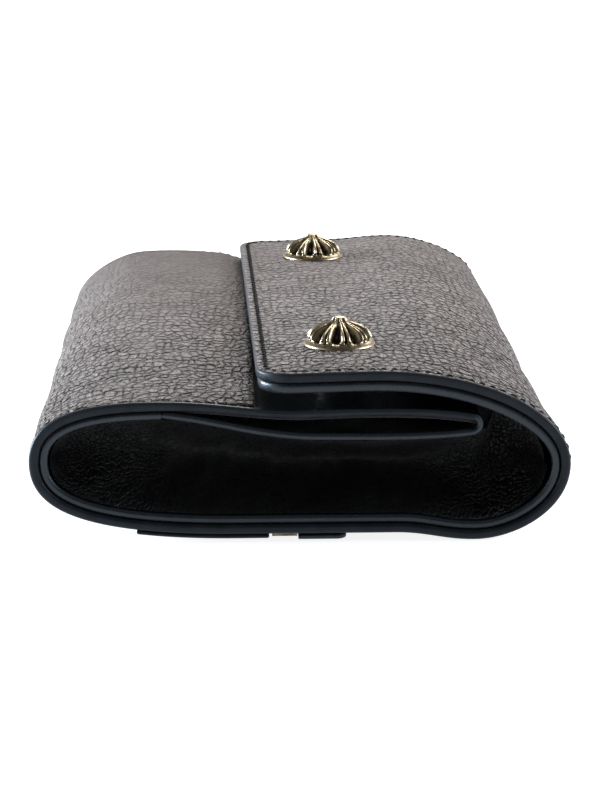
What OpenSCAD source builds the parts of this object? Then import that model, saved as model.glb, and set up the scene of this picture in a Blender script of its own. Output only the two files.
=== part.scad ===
/* [Wallet] */
// Length of the wallet along its folds
wallet_l = 150; // [140:1:165]
// Width of the closed wallet, from the bottom fold to the spine
wallet_w = 102.2; // [100:0.2:105]
// Height of the front panel above the table
front_h = 27.4; // [27:0.1:28.4]
// Height of the closed flap above the table
flap_h = 33; // [32.6:0.1:34]

/* [Leather] */
// Thickness of the outer leather with its turned edge
leather_t = 1.9; // [1.6:0.1:2]
// Thickness of the lining behind the back panel and the spine
lining_t = 1.7; // [1.4:0.1:1.8]
// Thickness of the lining under the flap
flap_lining_t = 2.2; // [1.8:0.1:2.4]
// Thickness of the stiffening board inside the flap
stiffener_t = 0.6; // [0.4:0.1:0.8]
// Thickness of the inner panels and card slots
panel_t = 0.6; // [0.4:0.1:0.6]
// Corner radius of the flap's free edge
flap_corner_r = 6.5; // [4:0.5:9]
// Angle at which the flap's free edge lies askew
flap_skew = 0.7; // [0:0.1:1]
// Slit between two pieces of leather that fold against each other
fold_gap = 0.3; // [0.2:0.05:0.4]

/* [Gussets] */
// Depth of the hollow in each gusset
gusset_depth = 13; // [10:1:16]
// Thickness of the gusset leather
gusset_t = 1.1; // [0.8:0.1:1.4]

/* [Cards] */
// Width of a card slot
slot_w = 96; // [90:1:104]
// Distance from one card slot's mouth to the next
slot_step = 11; // [9:0.5:12]

/* [Snaps] */
// Distance between the two snaps
snap_spacing = 100; // [80:1:110]
// Distance of the snaps from the middle of the wallet's width
snap_x = 7.8; // [5:0.1:9]
// Radius of the ribbed cap
cap_r = 7.1; // [6:0.1:7.5]
// Height of the ribbed cap above the flap
cap_h = 5.6; // [4:0.1:7]
// Number of ribs on the cap
rib_count = 9; // [6:1:12]

/* [Chain eyelets] */
// Radius of the hole that takes a chain's clip
eyelet_r = 2.5; // [2:0.1:2.8]
// Distance between the two eyelets
eyelet_spacing = 108; // [108:1:109]

/* [Back zip] */
// Position of the zip across the wallet
zip_x = -3; // [-5:0.5:0]
// Length of the zip's window
zip_l = 140; // [120:1:142]
// Distance between two zip teeth
tooth_pitch = 2.8; // [2.4:0.1:4]

/* [Hidden] */

$fn = 48;
leather_colour = [0.50, 0.46, 0.44];
lining_colour = [0.11, 0.12, 0.13];
gusset_colour = [0.06, 0.07, 0.08];
cloth_colour = [0.09, 0.09, 0.10];
gold_colour = [0.62, 0.52, 0.33];
steel_colour = [0.62, 0.62, 0.60];

half_w = wallet_w / 2;
mouth_x = half_w - 16.5;
flap_edge_x = -10;
side_mid_h = 15.7;
back_h = 1.5;
wall_t = leather_t + lining_t;
clearance = 0.6;
lining_inset = 0.4;
lining_l = wallet_l - 2 * lining_inset;
turns = 10;

// One cubic curve, its direction, and the unit vector that points into the wallet
function curve(c, t) = pow(1 - t, 3) * c[0] + 3 * pow(1 - t, 2) * t * c[1]
    + 3 * (1 - t) * t * t * c[2] + pow(t, 3) * c[3];
function slope(c, t) = 3 * pow(1 - t, 2) * (c[1] - c[0]) + 6 * (1 - t) * t * (c[2] - c[1])
    + 3 * t * t * (c[3] - c[2]);
function inward(c, t) = let (d = slope(c, t) / norm(slope(c, t))) [-d.y, d.x];

// Points along a list of [curve, first t, last t, steps], moved inward by a depth
function along(path, depth) = [
    for (i = [0:len(path) - 1], k = [0:path[i][3] - (i < len(path) - 1 ? 1 : 0)])
        let (c = path[i][0], t = path[i][1] + (path[i][2] - path[i][1]) * k / path[i][3])
            curve(c, t) + depth * inward(c, t)
];
function backwards(points) = [for (i = [len(points) - 1:-1:0]) points[i]];
function strip(path, near, far) = concat(along(path, near), backwards(along(path, far)));

// The outer surface in section, from the front panel's mouth round the wallet to the flap's edge
front_mouth = [
    [mouth_x, front_h - 2.8], [mouth_x - 8.6, front_h - 0.8], [12, front_h - 1.1], [2, front_h - 1.5]
];
front_face = [[2, front_h - 1.5], [-7, front_h - 1.86], [-14, front_h], [-25, front_h]];
fold_top = [[-25, front_h], [-37, front_h], [-half_w, front_h - 0.9], [-half_w, side_mid_h]];
fold_bottom = [[-half_w, side_mid_h], [-half_w, 6.9], [-42.3, back_h + 0.3], [-14, back_h]];
back_flat = [[-14, back_h], [-4, back_h], [8, back_h], [18, back_h]];
back_heel = [[18, back_h], [24, back_h], [27, 0], [33, 0]];
spine_lower = [[33, 0], [41.2, 0], [half_w, 5.8], [half_w, 14.5]];
spine_upper = [[half_w, 14.5], [half_w, 25], [34, flap_h], [14, flap_h]];
flap_face = [[14, flap_h], [8, flap_h], [0, flap_h - 0.4], [flap_edge_x, flap_h - 0.4]];

// The panel that closes the front slip pocket, from its mouth to the bottom fold
pocket_mouth = [
    [mouth_x - 0.2, front_h - 5.5], [24, front_h - 6.8], [14, front_h - 6.5], [4, front_h - 6.4]
];
pocket_face = [
    [4, front_h - 6.4], [-8, front_h - 6.3], [-18, front_h - 3.9], [-31.6, front_h - 2.9]
];
pocket_path = [[pocket_mouth, 0, 1, turns], [pocket_face, 0, 1, turns]];
pocket_t = 1.5;

// The two folds: the spine bends about the first and the flap about the second
spine_fold_t = 0.25;
flap_fold_t = 0.5;
spine_slit_t = fold_gap / 2 / norm(slope(spine_lower, spine_fold_t));
flap_slit_t = fold_gap / 2 / norm(slope(spine_upper, flap_fold_t));
lining_start_t = 0.2;
lining_turns = turns * (1 - lining_start_t);

front_path = [[front_mouth, 0, 1, turns], [front_face, 0, 1, turns]];
fold_path = [[fold_top, 0, 1, turns], [fold_bottom, 0, 1, turns]];
back_path = [
    [back_flat, 0, 1, 1], [back_heel, 0, 1, turns],
    [spine_lower, 0, spine_fold_t - spine_slit_t, turns]
];
lined_fold_path = [[fold_top, lining_start_t, 1, lining_turns], [fold_bottom, 0, 1, turns]];
spine_path = [
    [spine_lower, spine_fold_t + spine_slit_t, 1, turns],
    [spine_upper, 0, flap_fold_t - flap_slit_t, turns]
];
flap_path = [
    [spine_upper, flap_fold_t + flap_slit_t, 1, turns], [flap_face, 0, 1, turns]
];
gusset_spine_path = [
    [spine_lower, spine_fold_t + 0.06, 1, turns], [spine_upper, 0, 0.4, turns]
];

card_z = wall_t + panel_t;
slot_end_x = -22;
first_mouth_x = 25;
snap_washer_t = 0.6;
snap_seat_z = curve(front_mouth, 0.75).y - 0.2;
cap_seat_z = flap_h - 0.1;
socket_top_z = flap_h - leather_t - flap_lining_t - 0.1;
socket_t = 1.6;
rivet_r = 1.5;
rivet_foot_z = front_h - 4.9;
rivet_hole_r = 1.6;
rivet_hole_h = 8;
seat_hole_h = 3;
post_r = 2;
socket_bore_r = 2.3;
socket_r = 5.6;

eyelet_x = half_w - 13.6;
eyelet_z = 9.6;
eyelet_t = 2.4;
tab_t = 1.2;
tab_w = 10;

window_w = 9;
tape_z = 2.2;
tape_t = 0.5;
tooth_z = 1.45;
slider_w = 5;
slider_l = 7;
slider_y = -zip_l / 2 + 7.5;
bail_y = slider_y - 2.5;
bail_z = 0.6;
plate_z = 1;

module across(l) {
    rotate([90, 0, 0])
        linear_extrude(l, center = true)
            children();
}

module sheet(path, near, far, l) {
    across(l)
        polygon(strip(path, near, far));
}

// A block between two x positions that trims a sheet
module between(x0, x1, l) {
    translate([x0, -l / 2, -1])
        cube([x1 - x0, l, flap_h + 8]);
}

module each_snap(side) {
    translate([snap_x - side * snap_spacing / 2 * tan(flap_skew), side * snap_spacing / 2, 0])
        children();
}

// Two round holes, one at each snap
module snap_holes(z, r, h) {
    for (side = [-1, 1])
        each_snap(side)
            translate([0, 0, z])
                cylinder(r = r, h = h);
}

module outer_leather() {
    color(leather_colour)
        difference() {
            sheet(concat(front_path, fold_path, back_path), 0, leather_t, wallet_l);
            translate([zip_x - window_w / 2, -zip_l / 2, -1])
                cube([window_w, zip_l, leather_t + back_h + 2]);
            snap_holes(front_h - rivet_hole_h + 2, rivet_hole_r, rivet_hole_h);
            snap_holes(snap_seat_z, cap_r, seat_hole_h);
        }
}

module shell_lining() {
    color(lining_colour)
        sheet(concat(lined_fold_path, back_path), leather_t, wall_t, lining_l);
}

module front_panel_lining() {
    color(cloth_colour)
        difference() {
            intersection() {
                sheet(front_path, leather_t, leather_t + panel_t, wallet_l - 3);
                between(-24, mouth_x - 1, wallet_l);
            }
            snap_holes(front_h - rivet_hole_h + 2, rivet_hole_r, rivet_hole_h);
        }
}

module front_pocket_panel() {
    color(lining_colour)
        sheet(pocket_path, 0, pocket_t, lining_l);
}

// The inside of the wallet in section, less a margin on each side
function hollow(margin) = concat(
    along(pocket_path, pocket_t + margin),
    along(
        concat(lined_fold_path, back_path),
        wall_t + margin
    ),
    along(gusset_spine_path, wall_t + clearance + margin)
);

module gusset(side) {
    slit = 0.1;
    gusset_l = gusset_depth + gusset_t;
    mirror([0, side > 0 ? 1 : 0, 0])
        translate([0, (gusset_l - wallet_l) / 2 + 2 * lining_inset, 0])
            color(gusset_colour)
                difference() {
                    across(gusset_l)
                        polygon(hollow(slit));
                    translate([0, -gusset_t, 0])
                        across(gusset_l)
                            polygon(hollow(slit + gusset_t));
                }
}

module card_backing_panel() {
    color(cloth_colour)
        intersection() {
            sheet([fold_path[1], back_path[0], back_path[1]], wall_t, card_z, slot_w + 8);
            between(slot_end_x, first_mouth_x + 6, wallet_l);
        }
}

module card_slot(number) {
    color(leather_colour * 0.5)
        intersection() {
            sheet(
                [fold_path[1], back_path[0], back_path[1]],
                card_z + (number - 1) * panel_t, card_z + number * panel_t, slot_w
            );
            between(slot_end_x, first_mouth_x - (number - 1) * slot_step, wallet_l);
        }
}

module divider_panel() {
    divider_z = 13.7;
    low_x = -half_w + 9;
    high_x = mouth_x - 4;
    divider_l = wallet_l - 2 * (gusset_depth + 2.4);
    color(lining_colour)
        translate([low_x, -divider_l / 2, divider_z])
            cube([high_x - low_x, divider_l, panel_t]);
}

module snap_post(side) {
    base_r = 5;
    base_h = 0.9;
    post_h = 2.2;
    rivet_h = 4;
    color(steel_colour)
        each_snap(side) {
            translate([0, 0, snap_seat_z])
                cylinder(r = base_r, h = base_h);
            translate([0, 0, rivet_foot_z])
                cylinder(r = rivet_r, h = rivet_h);
            translate([0, 0, snap_seat_z])
                cylinder(r = post_r, h = post_h);
        }
}

module snap_washer(side) {
    washer_r = 4.5;
    color(steel_colour)
        each_snap(side)
            translate([0, 0, rivet_foot_z + 0.15])
                difference() {
                    cylinder(r = washer_r, h = snap_washer_t);
                    translate([0, 0, -1])
                        cylinder(r = rivet_hole_r, h = 3);
                }
}

module chain_tab(side) {
    root = [24, 5.6];
    rise = [eyelet_x - 6.5, eyelet_z - tab_t / 2];
    color(lining_colour)
        translate([0, side * eyelet_spacing / 2, 0])
            difference() {
                across(tab_w)
                    polygon([
                        [root.x, root.y], rise, [eyelet_x + 4.6, rise.y],
                        [eyelet_x + 4.6, rise.y + tab_t], [rise.x - 0.5, rise.y + tab_t],
                        [root.x, root.y + tab_t]
                    ]);
                translate([eyelet_x, 0, 0])
                    cylinder(r = eyelet_r + 0.7, h = 20);
            }
}

module chain_eyelet(side) {
    flange_t = 0.5;
    color(gold_colour)
        translate([eyelet_x, side * eyelet_spacing / 2, eyelet_z])
            rotate_extrude()
                polygon([
                    [eyelet_r, -eyelet_t / 2], [eyelet_r + 1.6, -eyelet_t / 2],
                    [eyelet_r + 1.6, -eyelet_t / 2 + flange_t], [eyelet_r + 0.6, -eyelet_t / 2 + flange_t],
                    [eyelet_r + 0.6, eyelet_t / 2 - flange_t], [eyelet_r + 1.6, eyelet_t / 2 - flange_t],
                    [eyelet_r + 1.6, eyelet_t / 2], [eyelet_r, eyelet_t / 2]
                ]);
}

module back_pocket_panel() {
    color(leather_colour)
        intersection() {
            sheet([fold_path[1], back_path[0]], -back_h, 0, wallet_l - 0.4);
            between(-31, zip_x - slider_w / 2 - 0.5, wallet_l);
        }
}

// One half of the zip, on the side that faces away from its middle line
module zip_half(side) {
    translate([zip_x, 0, 0])
        mirror([side < 0 ? 1 : 0, 0, 0])
            children();
}

module zip_tape(side) {
    color(cloth_colour)
        zip_half(side)
            translate([1, -zip_l / 2, tape_z])
                cube([window_w / 2 - 1, zip_l, tape_t]);
}

module zip_teeth(side) {
    count = floor((zip_l - 8) / tooth_pitch);
    first = -count * tooth_pitch / 2;
    tooth = [[1.3, 0.75], [0.5, 0.7], [0.5, 0.2], [1.3, 0.15]];
    color(gold_colour)
        zip_half(side)
            translate([0, 0, tooth_z])
                linear_extrude(tape_z - tooth_z)
                    polygon(concat(
                        [[2.1, first], [2.1, -first]],
                        [
                            for (i = [count - 1:-1:0], corner = tooth)
                                [corner.x, first + (i + corner.y) * tooth_pitch]
                        ]
                    ));
}

module zip_end_stops() {
    color(gold_colour)
        for (end = [-1, 1], side = [-1, 1])
            zip_half(side)
                translate([1, end * (zip_l / 2 - 1.8) - 0.8, tooth_z])
                    cube([1.2, 1.6, tape_z - tooth_z]);
}

module zip_slider() {
    plate_t = 0.4;
    inner_plate_z = tape_z + tape_t + 0.1;
    color(gold_colour)
        translate([zip_x, slider_y, 0]) {
            for (z = [plate_z, inner_plate_z])
                translate([-slider_w / 2, -slider_l / 2, z])
                    cube([slider_w, slider_l, plate_t]);
            translate([-0.35, -slider_l / 2, plate_z])
                cube([0.7, slider_l, inner_plate_z + plate_t - plate_z]);
            for (edge = [-1, 1])
                translate([edge * 1.6, bail_y - slider_y, 0])
                    difference() {
                        translate([-0.3, -0.6, 0.1])
                            cube([0.6, 1.6, plate_z]);
                        translate([-1, 0, bail_z])
                            rotate([0, 90, 0])
                                cylinder(r = 0.32, h = 2);
                    }
        }
}

module zip_pull_ring() {
    ring_l = 7;
    tail = 0.25;
    bar = 0.5;
    color(gold_colour)
        translate([zip_x, 0, bail_z]) {
            translate([-1.9, bail_y, 0])
                rotate([0, 90, 0])
                    cylinder(r = 0.26, h = 3.8);
            for (edge = [-1, 1])
                translate([edge * 2.15, bail_y + (tail - ring_l) / 2, 0])
                    cube([bar, ring_l + tail, bar], center = true);
            translate([0, bail_y - ring_l, 0])
                cube([4.8, bar, bar], center = true);
        }
}

module zip_pull_tab() {
    tab_l = 9;
    color(lining_colour)
        translate([zip_x + 2.7, -wallet_l / 2 + 0.3, 0.35])
            difference() {
                linear_extrude(0.9)
                    polygon([
                        [-1.4, 2.2], [0, 0.4], [tab_l - 2, 0], [tab_l, 1.4],
                        [tab_l, 4.2], [tab_l - 2, 5.6], [0, 5.2], [-1.4, 3.4]
                    ]);
                translate([-2, 0, -1])
                    cube([1.8, 6, 3]);
            }
}

module spine_leather() {
    color(leather_colour)
        sheet(spine_path, 0, leather_t, wallet_l);
}

module spine_lining() {
    color(lining_colour)
        sheet(spine_path, leather_t, wall_t, lining_l);
}

// The flap's outline seen from above, with rounded corners at its free edge
module flap_outline(margin) {
    r = flap_corner_r - margin;
    w = wallet_l / 2 - margin;
    linear_extrude(flap_h + 6)
        polygon([
            [half_w + 1, -w],
            for (side = [-1, 1], k = [0:turns])
                let (angle = side < 0 ? -90 - 90 * k / turns : 180 - 90 * k / turns)
                    [
                        flap_edge_x + margin + r - side * (w - r) * tan(flap_skew) + r * cos(angle),
                        side * (w - r) + r * sin(angle)
                    ],
            [half_w + 1, w]
        ]);
}

module flap_leather() {
    color(leather_colour)
        difference() {
            intersection() {
                sheet(flap_path, 0, leather_t, wallet_l);
                flap_outline(0);
            }
            snap_holes(front_h, rivet_hole_r, rivet_hole_h);
            snap_holes(cap_seat_z, cap_r + 0.1, seat_hole_h);
        }
}

// The board inside the flap, grown on each side to cut the recess that it lies in
module stiffener_board(grow) {
    low_x = flap_edge_x + 4;
    high_x = half_w - 20;
    board_l = wallet_l - 10;
    intersection() {
        sheet(flap_path, leather_t - grow, leather_t + stiffener_t + grow, board_l + 2 * grow);
        between(low_x - grow, high_x + grow, wallet_l);
    }
}

module flap_stiffener() {
    color("tan")
        difference() {
            stiffener_board(0);
            snap_holes(front_h, rivet_hole_r, rivet_hole_h);
        }
}

module flap_lining() {
    color(lining_colour)
        difference() {
            intersection() {
                sheet(flap_path, leather_t, leather_t + flap_lining_t, wallet_l);
                flap_outline(lining_inset);
            }
            stiffener_board(0.05);
            snap_holes(front_h, rivet_hole_r, rivet_hole_h);
            snap_holes(front_h, socket_r + 0.1, socket_top_z - front_h);
        }
}

module stud_cap(side) {
    knob_r = 1.7;
    color(gold_colour)
        each_snap(side) {
            translate([0, 0, cap_seat_z])
                rotate_extrude()
                    polygon([
                        [0, 0], [cap_r, 0], [cap_r, 0.9], [cap_r - 0.8, 1.6],
                        [4.2, 2.6], [2.2, 4], [0, 4]
                    ]);
            translate([0, 0, cap_seat_z + 3])
                cylinder(r = knob_r, h = cap_h - 3);
            for (rib = [0:rib_count - 1])
                rotate([0, 0, rib * 360 / rib_count])
                    translate([0, 0, cap_seat_z])
                        rotate([90, 0, 0])
                            linear_extrude(0.9, center = true)
                                polygon([[0.5, 1], [5.9, 1], [5.9, 2.4], [4, 3.4], [2, 4.9], [0.5, 4.9]]);
            translate([0, 0, socket_top_z - 0.4])
                cylinder(r = rivet_r, h = cap_seat_z - socket_top_z + 1);
        }
}

module snap_socket(side) {
    color(steel_colour)
        each_snap(side)
            translate([0, 0, socket_top_z])
                rotate([180, 0, 0])
                    rotate_extrude()
                        polygon([
                            [rivet_hole_r, 0], [socket_r, 0], [socket_r, 0.5], [4.4, socket_t],
                            [socket_bore_r, socket_t], [socket_bore_r, 0.45], [rivet_hole_r, 0.45]
                        ]);
}

outer_leather();
shell_lining();
front_panel_lining();
front_pocket_panel();
gusset(1);  // gusset_left
gusset(-1);  // gusset_right
card_backing_panel();
card_slot(1);  // card_slot_1
card_slot(2);  // card_slot_2
card_slot(3);  // card_slot_3
card_slot(4);  // card_slot_4
divider_panel();
snap_post(1);  // snap_post_left
snap_post(-1);  // snap_post_right
snap_washer(1);  // snap_washer_left
snap_washer(-1);  // snap_washer_right
chain_tab(1);  // chain_tab_left
chain_tab(-1);  // chain_tab_right
chain_eyelet(1);  // chain_eyelet_left
chain_eyelet(-1);  // chain_eyelet_right
back_pocket_panel();
zip_tape(-1);  // zip_tape_lower
zip_tape(1);  // zip_tape_upper
zip_teeth(-1);  // zip_teeth_lower
zip_teeth(1);  // zip_teeth_upper
zip_end_stops();
spine_leather();
spine_lining();
flap_leather();
flap_stiffener();
flap_lining();
stud_cap(1);  // stud_cap_left
stud_cap(-1);  // stud_cap_right
snap_socket(1);  // snap_socket_left
snap_socket(-1);  // snap_socket_right
zip_slider();
zip_pull_ring();
zip_pull_tab();
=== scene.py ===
"""A pebbled-leather chain wallet lying on its back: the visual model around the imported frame."""

import math

import bmesh
import bpy
import numpy as np
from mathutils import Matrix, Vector


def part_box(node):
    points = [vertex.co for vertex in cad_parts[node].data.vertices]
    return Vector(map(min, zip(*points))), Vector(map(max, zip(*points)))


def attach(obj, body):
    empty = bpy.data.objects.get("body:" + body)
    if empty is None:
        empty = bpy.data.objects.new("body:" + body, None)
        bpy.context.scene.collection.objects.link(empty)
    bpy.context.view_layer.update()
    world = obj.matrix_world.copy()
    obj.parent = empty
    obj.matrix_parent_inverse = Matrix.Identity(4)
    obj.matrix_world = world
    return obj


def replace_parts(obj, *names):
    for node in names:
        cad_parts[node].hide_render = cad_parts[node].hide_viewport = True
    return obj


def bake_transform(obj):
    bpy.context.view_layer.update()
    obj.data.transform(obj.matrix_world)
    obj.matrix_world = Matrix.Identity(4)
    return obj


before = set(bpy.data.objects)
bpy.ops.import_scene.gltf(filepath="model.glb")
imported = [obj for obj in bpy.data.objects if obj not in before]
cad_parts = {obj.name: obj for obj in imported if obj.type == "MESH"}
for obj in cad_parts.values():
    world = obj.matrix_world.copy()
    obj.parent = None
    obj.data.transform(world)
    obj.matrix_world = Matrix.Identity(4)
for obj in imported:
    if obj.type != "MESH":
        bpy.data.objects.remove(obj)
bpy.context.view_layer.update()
MM = 0.001
SIDES = {"left": 1, "right": -1}


def node_box(node):
    """A node's lowest and highest corner, in millimetres."""
    low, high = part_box(node)
    return np.array(low) / MM, np.array(high) / MM


# ---------------------------------------------------------------- sizes from the frame

shell_low, shell_high = node_box("outer_leather")
flap_low, flap_high = node_box("flap_leather")
HALF_W, HALF_L, FRONT_H = -shell_low[0], shell_high[1], shell_high[2]
FLAP_H = flap_high[2]
MOUTH_X = HALF_W - 16.5
BACK_H = 1.5
SIDE_MID_H = 15.7
LEATHER_T = 1.9
LINING_T = 1.7
WALL_T = LEATHER_T + LINING_T
FLAP_LINING_T = 2.2
POCKET_T = 1.5
PANEL_T = 0.6
FLAP_R = 6.5
FLAP_SKEW = math.tan(math.radians(0.7))
LINING_INSET = 0.4
STITCH_INSET = 1.9
SHELL_STITCH = 1.45
FLAP_EDGE_X = flap_low[0] + FLAP_SKEW * (HALF_L - FLAP_R)
STITCH_PITCH = 2.1
# How far in from the edge the painted highlight line on rounded edges lies
HIGHLIGHT_IN = 0.2

# The outer surface in section, in x and z, from the front panel's mouth round to the flap's edge
FRONT_MOUTH = [
    (MOUTH_X, FRONT_H - 2.8), (MOUTH_X - 8.6, FRONT_H - 0.8), (12, FRONT_H - 1.1), (2, FRONT_H - 1.5)
]
FRONT_FACE = [(2, FRONT_H - 1.5), (-7, FRONT_H - 1.86), (-14, FRONT_H), (-25, FRONT_H)]
FOLD_TOP = [(-25, FRONT_H), (-37, FRONT_H), (-HALF_W, FRONT_H - 0.9), (-HALF_W, SIDE_MID_H)]
FOLD_BOTTOM = [(-HALF_W, SIDE_MID_H), (-HALF_W, 6.9), (-42.3, BACK_H + 0.3), (-14, BACK_H)]
BACK_FLAT = [(-14, BACK_H), (-4, BACK_H), (8, BACK_H), (18, BACK_H)]
BACK_HEEL = [(18, BACK_H), (24, BACK_H), (27, 0), (33, 0)]
SPINE_LOWER = [(33, 0), (41.2, 0), (HALF_W, 5.8), (HALF_W, 14.5)]
SPINE_UPPER = [(HALF_W, 14.5), (HALF_W, 25), (34, FLAP_H), (14, FLAP_H)]
FLAP_FACE = [(14, FLAP_H), (8, FLAP_H), (0, FLAP_H - 0.4), (FLAP_EDGE_X, FLAP_H - 0.4)]
POCKET_MOUTH = [(MOUTH_X - 0.2, FRONT_H - 5.5), (24, FRONT_H - 6.8), (14, FRONT_H - 6.5), (4, FRONT_H - 6.4)]
POCKET_FACE = [(4, FRONT_H - 6.4), (-8, FRONT_H - 6.3), (-16, FRONT_H - 2.9), (-25.9, FRONT_H - 2.0)]
LINING_START_T = 0.03

SPINE_BLEND = ("shell", "spine", (0.0349, 0, 0), (0.0435, 0, 0))
FLAP_BLEND = ("spine", "flap", (0.0455, 0, 0), (0.0345, 0, 0))


FULLER_FOLD = 3.1
FULLER_SPINE = 2.6


def smooth(value, low, high):
    """0 below low, 1 above high, and an easy rise between them."""
    t = np.clip((value - low) / (high - low), 0, 1)
    return t * t * (3 - 2 * t)


def settle(points, on_flap=False):
    """The folds stand fuller towards the far end, and the flap's free edge lies a little askew."""
    x, y, z = points[..., 0], points[..., 1], points[..., 2]
    upper = smooth(z, 13, 24)
    far, past_end = smooth(y, -68, 55) * upper, smooth(y, -72, -40)
    left = smooth(x, -HALF_W - 2, -34) * (1 - 0.3 * smooth(x, -15, -9)) * (1 - smooth(x, -5, 4))
    right = smooth(x, 12, 33)
    lifted = z + far * (FULLER_FOLD * (0 if on_flap else left) + FULLER_SPINE * right)
    pushed = x - past_end * (0.75 * smooth(x, 30, 50) - 0.3 * smooth(-x, 30, 50))
    pushed = pushed + 1.6 * far * smooth(x, 26, 40) * (1 - smooth(x, 44, HALF_W))
    if on_flap:
        pushed = pushed - y * FLAP_SKEW * (1 - smooth(x, -6, 30))
    return np.stack([pushed, y, lifted], -1)


class Run:
    """A smooth line in section, known by the length along it, and made of curves. Each is [points], or
    (points, from, to) for a part of it."""

    def __init__(self, *curves, on_flap=False):
        self.on_flap = on_flap
        points = []
        for curve, *ends in curves:
            first, last = ends or (0, 1)
            t = np.linspace(first, last, 121)[1 if points else 0 :, None]
            c = np.asarray(curve, float)
            u = 1 - t
            points.append(u**3 * c[0] + 3 * u**2 * t * c[1] + 3 * u * t**2 * c[2] + t**3 * c[3])
        self.points = np.vstack(points)
        steps = np.linalg.norm(np.diff(self.points, axis=0), axis=1)
        self.lengths = np.concatenate([[0], np.cumsum(steps)])
        self.total = self.lengths[-1]
        along = np.gradient(self.points, self.lengths, axis=0)
        along /= np.linalg.norm(along, axis=1)[:, None]
        self.inward = np.stack([-along[:, 1], along[:, 0]], 1)

    def place(self, s, y, depth):
        """Points at length s and depth inward from the line."""

        def at_s(values, k):
            return np.interp(s, self.lengths, values[:, k])

        x, z = (at_s(self.points, k) + depth * at_s(self.inward, k) for k in (0, 1))
        return settle(np.stack([x, y + 0 * x, z], -1), self.on_flap)

    def length_at(self, x, low=0.0, high=None):
        """The length where the line crosses x, looked for between two lengths."""
        high = self.total if high is None else high
        s = np.linspace(low, high, 4001)
        found = np.interp(s, self.lengths, self.points[:, 0])
        return float(s[np.argmin(abs(found - x))])


front_run = Run([FRONT_MOUTH], [FRONT_FACE])
fold_start = front_run.total

# ---------------------------------------------------------------- grain and noise


def wobble(a, b, size, seed):
    """Smooth noise from about -1 to 1 whose bumps are about size across."""
    rng = np.random.default_rng(seed)
    total = 0
    for _ in range(7):
        angle, phase = rng.uniform(0, 2 * math.pi, 2)
        wave = 2 * math.pi / (size * rng.uniform(1.4, 3.0))
        total = total + np.sin(wave * (a * math.cos(angle) + b * math.sin(angle)) + phase)
    return total / 3.2


def pebbles(a, b, cell, seed):
    """Distance in from the edge of the nearest pebble, in millimetres, a random number for it, and how far
    the point is from its middle along b."""
    size = np.array(cell, float)
    pa = (a + 0.35 * cell[0] * wobble(a, b, 5, seed + 1)) / size[0]
    pb = (b + 0.35 * cell[1] * wobble(a, b, 6, seed + 2)) / size[1]
    ia, ib = np.floor(pa).astype(int), np.floor(pb).astype(int)
    low_a, low_b = ia.min() - 3, ib.min() - 3
    count = (ia.max() - low_a + 4, ib.max() - low_b + 4)
    rng = np.random.default_rng(seed)
    jitter = rng.uniform(-0.4, 0.4, (2, *count))
    jitter[0] += 0.5 + 0.5 * (np.arange(count[1])[None, :] % 2)
    jitter[1] += 0.5
    shade = rng.uniform(0, 1, count)
    around = [(i, j) for i in range(-2, 3) for j in range(-2, 3)]

    def seed_point(i, j):
        ja, jb = ia + i - low_a, ib + j - low_b
        ja, jb = np.clip(ja, 0, count[0] - 1), np.clip(jb, 0, count[1] - 1)
        return ia + i + jitter[0, ja, jb], ib + j + jitter[1, ja, jb], shade[ja, jb]

    best = np.full(a.shape, 1e9)
    near_a, near_b, value = np.zeros(a.shape), np.zeros(a.shape), np.zeros(a.shape)
    for i, j in around:
        qa, qb, v = seed_point(i, j)
        d = ((qa - pa) * size[0]) ** 2 + ((qb - pb) * size[1]) ** 2
        closer = d < best
        best = np.where(closer, d, best)
        near_a, near_b, value = (np.where(closer, n, o) for n, o in ((qa, near_a), (qb, near_b), (v, value)))
    edge = np.full(a.shape, 1e9)
    for i, j in around:
        qa, qb, _ = seed_point(i, j)
        da, db = (qa - near_a) * size[0], (qb - near_b) * size[1]
        gap = np.hypot(da, db)
        ma, mb = ((qa + near_a) / 2 - pa) * size[0], ((qb + near_b) / 2 - pb) * size[1]
        d = np.where(gap > 1e-6, (ma * da + mb * db) / np.maximum(gap, 1e-6), 1e9)
        edge = np.minimum(edge, d)
    return np.maximum(edge, 0), value, pb - near_b


# ---------------------------------------------------------------- closed sheets


def rounded(radius, count=5):
    """Distances in from an edge at which a rounded border has its rows."""
    return radius * (1 - np.cos(np.linspace(0, math.pi / 2, count)))


def marks(low, high, zones, near_low, near_high, extra=()):
    """Rows from low to high. zones are (up to, step); near_* are the rows' distances from each end."""
    first, last = low + np.asarray(near_low, float), high - np.asarray(near_high, float)[::-1]
    rows, here = list(first), first[-1]
    stops = [*[min(z[0], last[0]) for z in zones[:-1]], last[0]]
    for stop, (_, step) in zip(stops, zones):
        if stop - here > 1e-6:
            count = max(1, int(math.ceil((stop - here) / step)))
            rows.extend(np.linspace(here, stop, count + 1)[1:])
            here = stop
    rows = np.array([*rows, *last[1:]])
    for value in extra:
        rows[np.argmin(abs(rows - value))] = value
    return rows


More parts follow.
